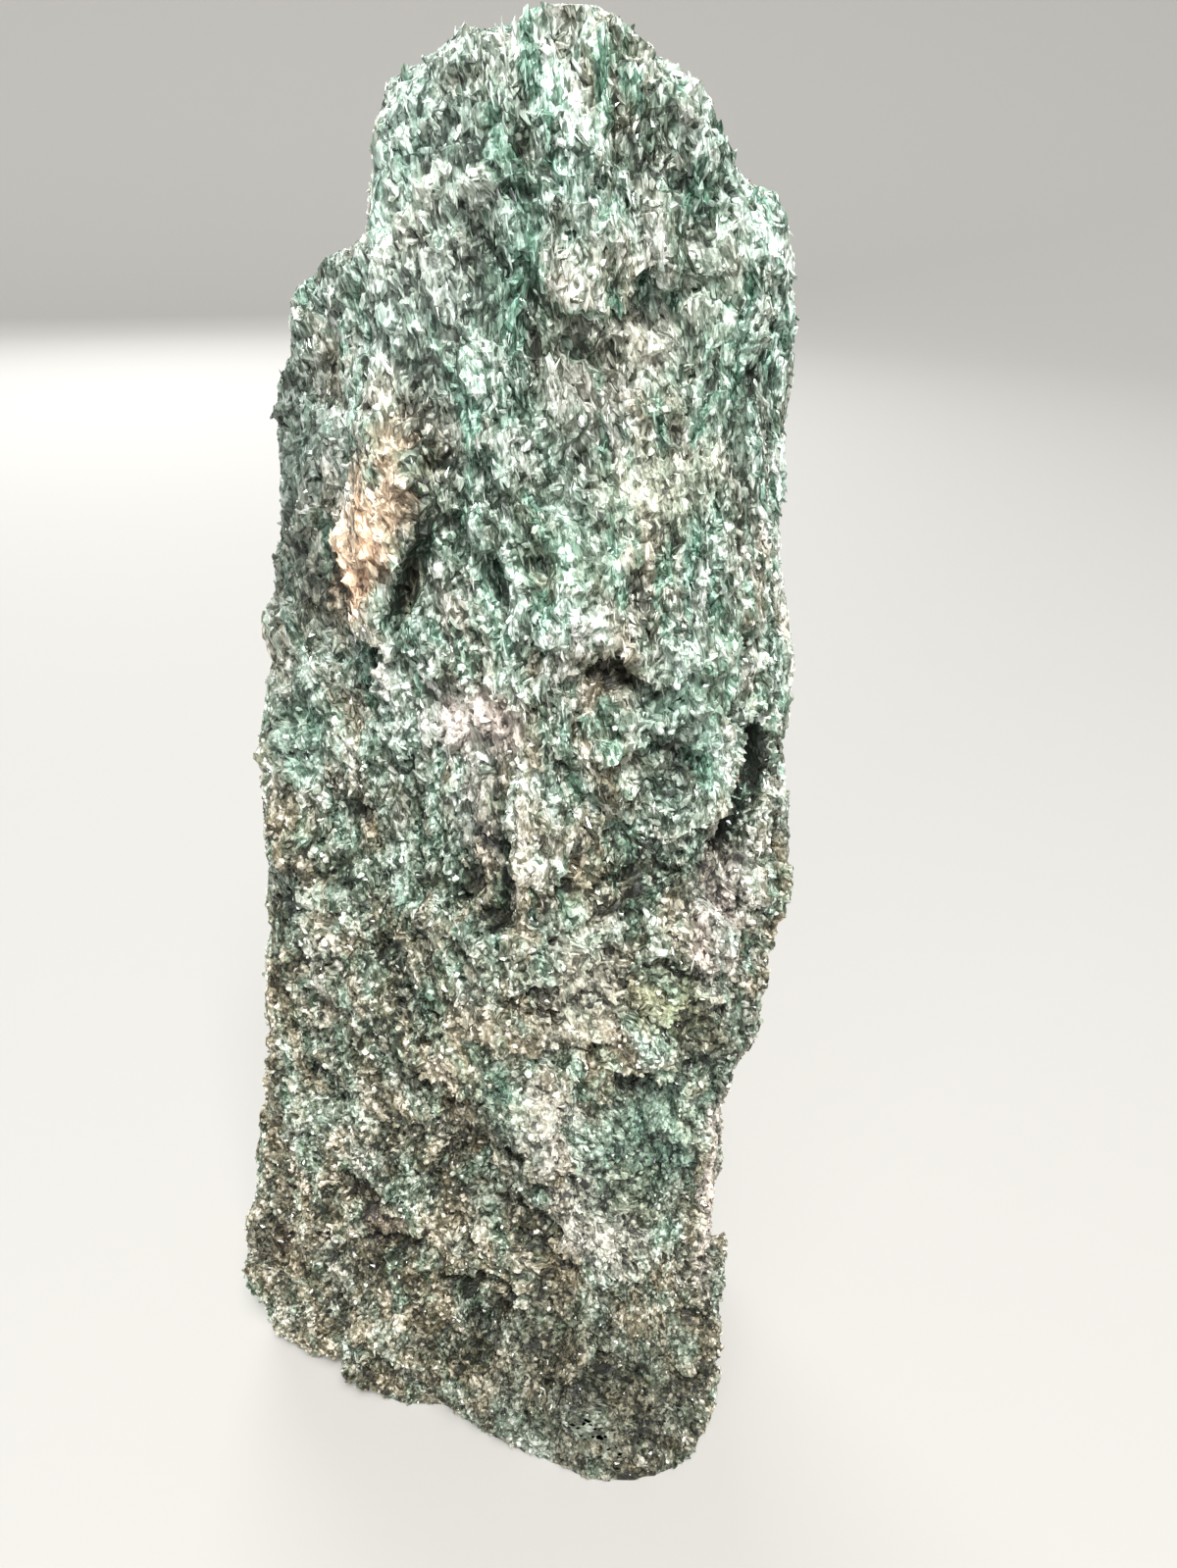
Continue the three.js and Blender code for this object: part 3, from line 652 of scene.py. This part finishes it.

# %% Tones of broad parts, and the lightness of each place, with its painted shade and light
TONES = [
    # name, middle, half-widths, how much paler or darker
    ("paler belt across the face", (10, -20, 170), (75, 70, 34), 0.065),
    ("darker part under the belt", (8, -28, 118), (28, 24, 22), -0.045),
    ("darker foot at the right", (30, -28, 32), (26, 24, 20), -0.06),
    ("darker middle of the crown", (8, -10, 240), (22, 40, 22), -0.035),
]
tone_change = 0.0
for part, middle, half, change in TONES:
    in_part = spread(colours, egg(colours, spot, middle, half, 0), 1.0, 0.4, 0.0, change)
    tone_change = total(colours, tone_change, in_part)
# gap paints the bottoms of the deep cracks and holes near black: painted shade.
gap = add(colours, "ShaderNodeAttribute", attribute_name="gap").outputs["Fac"]
# The lightness of each place. Hollows are painted darker, partly as dirt and partly as painted shade, and
# proud places paler, as painted light.
shade_here = total(
    colours, asked_shade, spread(colours, gap, 0.0, 1.0, 0.0, -1.2),
    tone_change, spread(colours, patches, 0.28, 0.72, -0.28, 0.28),
    spread(colours, fine, 0.3, 0.7, -0.3, 0.3), spread(colours, hollow, 0.0, 1.0, 0.16, -0.5),
    # painted light: the crown painted paler and the foot darker, as light falls from above.
    by_height(colours, rise, -0.11, 0.06), clamp=True)

# %% Mix the four scales
def scale_of(tree, shade, hex_colours):
    """A colour ramp through the scale's six colours, read at shade."""
    ramp = add(tree, "ShaderNodeValToRGB", {"Fac": shade})
    for position in STOPS[1:-1]:
        ramp.color_ramp.elements.new(position)
    for element, position, colour in zip(ramp.color_ramp.elements, STOPS, hex_colours):
        element.position = position
        element.color = linear(colour)
    return ramp.outputs["Color"]


warmer = add(colours, "ShaderNodeMix", {
    "Factor": olive_share, 6: scale_of(colours, shade_here, PLAIN),
    7: scale_of(colours, shade_here, OLIVE)}, data_type="RGBA").outputs[2]
ground_colour = add(colours, "ShaderNodeMix", {
    "Factor": fresh_share, 6: warmer, 7: scale_of(colours, shade_here, FRESH)}, data_type="RGBA").outputs[2]
ground_colour = add(colours, "ShaderNodeMix", {
    "Factor": emerald_share, 6: ground_colour,
    7: scale_of(colours, shade_here, EMERALD)}, data_type="RGBA").outputs[2]

# %% Lay the stains over it
STAIN_BEND_MM = 16
bend = noise(colours, spot, (7, 7, 9), 2.0).outputs["Color"]
bend_by = add(colours, "ShaderNodeVectorMath", {0: bend, 1: (0.5, 0.5, 0.5)}, operation="SUBTRACT")
bend_mm = add(colours, "ShaderNodeVectorMath", {
    0: bend_by.outputs[0], "Scale": STAIN_BEND_MM * MM}, operation="SCALE")
bent = add(colours, "ShaderNodeVectorMath", {
    0: spot, 1: bend_mm.outputs[0]}, operation="ADD").outputs[0]
stain_tone = spread(colours, shade_here, 0.0, 1.0, 0.06, 1.7)
for stain, middle, half, turn, colour, strength in STAINS:
    cover = spread(colours, egg(colours, bent, middle, half, turn), 1.35, 0.4, 0.0, strength)
    toned = add(colours, "ShaderNodeVectorMath", {
        0: linear(colour)[:3], "Scale": stain_tone}, operation="SCALE", label=stain)
    ground_colour = add(colours, "ShaderNodeMix", {
        "Factor": cover, 6: ground_colour, 7: toned.outputs[0]}, data_type="RGBA").outputs[2]
add(colours, "NodeGroupOutput", {"Color": ground_colour})
print("the colour rule has", len(colours.nodes), "nodes and", len(STAINS), "stains")

# %% [markdown]
# ## Three materials
#
# The **schist** is the rock behind the flakes. Its own flakes are too small to model, so a
# Voronoi pattern with cells of 1.0 by 0.5 by 1.8 mm, taller than wide, gives each its shade, and
# a finer noise gives a bump. It is dull.
#
# The **mica** is glossy: light bounces off the flat face of each flake. Its shade comes from the
# number that each flake keeps.
#
# The **quartz** is paler, glassier, and a little warm.

# %% Schist
def new_material_tree(material):
    """The material's node tree, emptied down to its surface and its output."""
    material.use_nodes = True
    tree = material.node_tree
    tree.nodes.clear()
    surface = add(tree, "ShaderNodeBsdfPrincipled")
    add(tree, "ShaderNodeOutputMaterial", {"Surface": surface.outputs[0]})
    return tree, surface


def rule_colour(tree, shade):
    """The shared colour rule, read at shade."""
    return add(tree, "ShaderNodeGroup", {"Shade": shade}, node_tree=colours).outputs["Color"]


tree, surface = new_material_tree(schist)
here = leaning(tree, add(tree, "ShaderNodeTexCoord").outputs["Object"])
cell_spot = add(tree, "ShaderNodeVectorMath", {0: here, 1: per_mm(1.0, 0.5, 1.8)}, operation="MULTIPLY")
cells = add(tree, "ShaderNodeTexVoronoi", {"Vector": cell_spot.outputs[0], "Scale": 1.0})
cell_shade = add(tree, "ShaderNodeSeparateColor", {0: cells.outputs["Color"]}).outputs[0]
rock_shade = spread(tree, cell_shade, 0.0, 1.0, 0.12, 0.72)
tree.links.new(rule_colour(tree, rock_shade), surface.inputs["Base Color"])
bump = add(tree, "ShaderNodeBump", {
    "Height": noise(tree, here, (0.7, 0.5, 1.3), 2.0).outputs[0], "Strength": 0.8, "Distance": 0.5 * MM})
tree.links.new(bump.outputs[0], surface.inputs["Normal"])
surface.inputs["Roughness"].default_value = 0.6

# %% Mica
tree, surface = new_material_tree(mica)
kept_shade = add(tree, "ShaderNodeAttribute", attribute_name="shade").outputs["Fac"]
tree.links.new(rule_colour(tree, kept_shade), surface.inputs["Base Color"])
surface.inputs["Roughness"].default_value = 0.24
surface.inputs["IOR"].default_value = 1.58

# %% Quartz
tree, surface = new_material_tree(quartz)
kept_shade = add(tree, "ShaderNodeAttribute", attribute_name="shade").outputs["Fac"]
tree.links.new(rule_colour(tree, kept_shade), surface.inputs["Base Color"])
surface.inputs["Roughness"].default_value = 0.25
surface.inputs["IOR"].default_value = 1.54
print("the materials are", [material.name for material in (schist, mica, quartz)])

# %% [markdown]
# ## Hand the pieces to the frame
#
# The stone, its flakes and its grains all stand for the one solid of the frame, and all move with
# its one body.

# %% Tie the pieces to the frame
for piece in pieces:
    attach(piece, "root")
    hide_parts("boulder")
print("the object has", sum(triangle_count(piece.data) for piece in pieces), "triangles")

# %% [markdown]
# ## Floor and light
#
# The stone stands on plain pale paper that curves up all round, like the inside of a wide bowl,
# so there is no horizon from any side. The rim is low enough for the light to pass over it. The
# key light comes from above and in front, like a big window, so each ledge has a short soft
# shadow under it. Weak lamps fill in from the left and from behind. A small hard lamp high in
# front wakes up the flakes: a flat mirror needs a small bright thing to mirror.

# %% The paper bowl
FLAT_RADIUS = 1.6
CURVE_RADIUS = 1.8
RIM_HEIGHT = 2.6
CURVE_STEPS = 16
ROUND_STEPS = 128
profile = []
for n in range(CURVE_STEPS + 1):
    angle = math.radians(90 * n / CURVE_STEPS)
    profile.append((FLAT_RADIUS + CURVE_RADIUS * math.sin(angle), CURVE_RADIUS * (1 - math.cos(angle))))
profile.append((FLAT_RADIUS + CURVE_RADIUS, RIM_HEIGHT))
corners = []
for radius, rise in profile:
    for n in range(ROUND_STEPS):
        angle = math.radians(360 * n / ROUND_STEPS)
        corners.append((radius * math.cos(angle), radius * math.sin(angle), rise))
faces = [tuple(range(ROUND_STEPS))]
for ring in range(len(profile) - 1):
    for n in range(ROUND_STEPS):
        a, b = ring * ROUND_STEPS + n, ring * ROUND_STEPS + (n + 1) % ROUND_STEPS
        faces.append((a, a + ROUND_STEPS, b + ROUND_STEPS, b))
bowl_mesh = bpy.data.meshes.new("paper bowl")
bowl_mesh.from_pydata(corners, [], faces)
bowl_mesh.shade_smooth()
floor = bpy.data.objects.new("paper_bowl", bowl_mesh)
bpy.context.scene.collection.objects.link(floor)
pale = bpy.data.materials.new("pale matte paper")
tree, surface = new_material_tree(pale)
surface.inputs["Base Color"].default_value = linear("#aaa8a3")
surface.inputs["Roughness"].default_value = 0.9
bowl_mesh.materials.append(pale)
print("the paper has", len(faces), "faces")

# %% The lamps
def lamp(name, place, aim, size, watts, warmth):
    """A square area lamp at place, in metres, turned to face aim."""
    data = bpy.data.lights.new(name, "AREA")
    data.size = size
    data.energy = watts
    data.color = linear(warmth)[:3]
    obj = bpy.data.objects.new(name, data)
    obj.matrix_world = Matrix.Translation(place) @ (
        (Vector(aim) - Vector(place)).to_track_quat("-Z", "Y").to_matrix().to_4x4())
    bpy.context.scene.collection.objects.link(obj)


MIDDLE = (0, 0, 0.13)
window = bpy.data.lights.new("key like a window", "SUN")
window.energy = 3.0
window.angle = math.radians(8)
window_lamp = bpy.data.objects.new("key like a window", window)
window_lamp.rotation_euler = (math.radians(32), 0, math.radians(12))
bpy.context.scene.collection.objects.link(window_lamp)
lamp("key from overhead", (0.15, -0.55, 1.1), MIDDLE, 0.3, 10, "#ffffff")
lamp("fill from the front", (-0.4, -1.2, 0.5), MIDDLE, 0.8, 6, "#f8faff")
lamp("fill from behind", (-0.5, 1.2, 0.8), MIDDLE, 0.9, 16, "#f8faff")
lamp("glint lamp", (0.15, -0.7, 0.9), MIDDLE, 0.08, 4, "#ffffff")
world = bpy.data.worlds.new("studio air")
world.use_nodes = True
world.node_tree.nodes["Background"].inputs["Color"].default_value = linear("#e3e5e6")
world.node_tree.nodes["Background"].inputs["Strength"].default_value = 0.27
bpy.context.scene.world = world
bpy.context.scene.view_settings.view_transform = "Standard"
print("there are", len(bpy.data.lights), "lamps")

# %% [markdown]
# ## The camera
#
# The camera stands in front of the stone and a little above it, looks down by 28.5 degrees, and is
# rolled by 2 degrees, as a hand holds it. The picture is taller than wide, so the lens's 36 mm of
# sensor lie along its height. The focal length is as long as the picture is wide, which is about
# what a usual phone has.

# %% The camera
PITCH = math.radians(28.5)
ROLL = math.radians(2.0)
EYE_MM = (18.64, -182.64, 238.0)
SENSOR_MM = 36.0
FOCAL_SHARE = 1200 / 1599
camera_data = bpy.data.cameras.new("camera")
camera_data.sensor_fit = "VERTICAL"
camera_data.sensor_height = SENSOR_MM
camera_data.lens = SENSOR_MM * FOCAL_SHARE
camera_data.clip_start = 0.01
camera = bpy.data.objects.new("camera", camera_data)
bpy.context.scene.collection.objects.link(camera)
forward = Vector((0, math.cos(PITCH), -math.sin(PITCH)))
level_right = Vector((1, 0, 0))
level_up = level_right.cross(forward)
right = level_right * math.cos(ROLL) + level_up * math.sin(ROLL)
up = level_up * math.cos(ROLL) - level_right * math.sin(ROLL)
turn = Matrix((right, up, -forward)).transposed().to_4x4()
camera.matrix_world = Matrix.Translation(Vector(EYE_MM) * MM) @ turn
bpy.context.scene.camera = camera
print("the camera is", round((Vector(EYE_MM) * MM - Vector(MIDDLE)).length, 3), "m from the stone's middle")
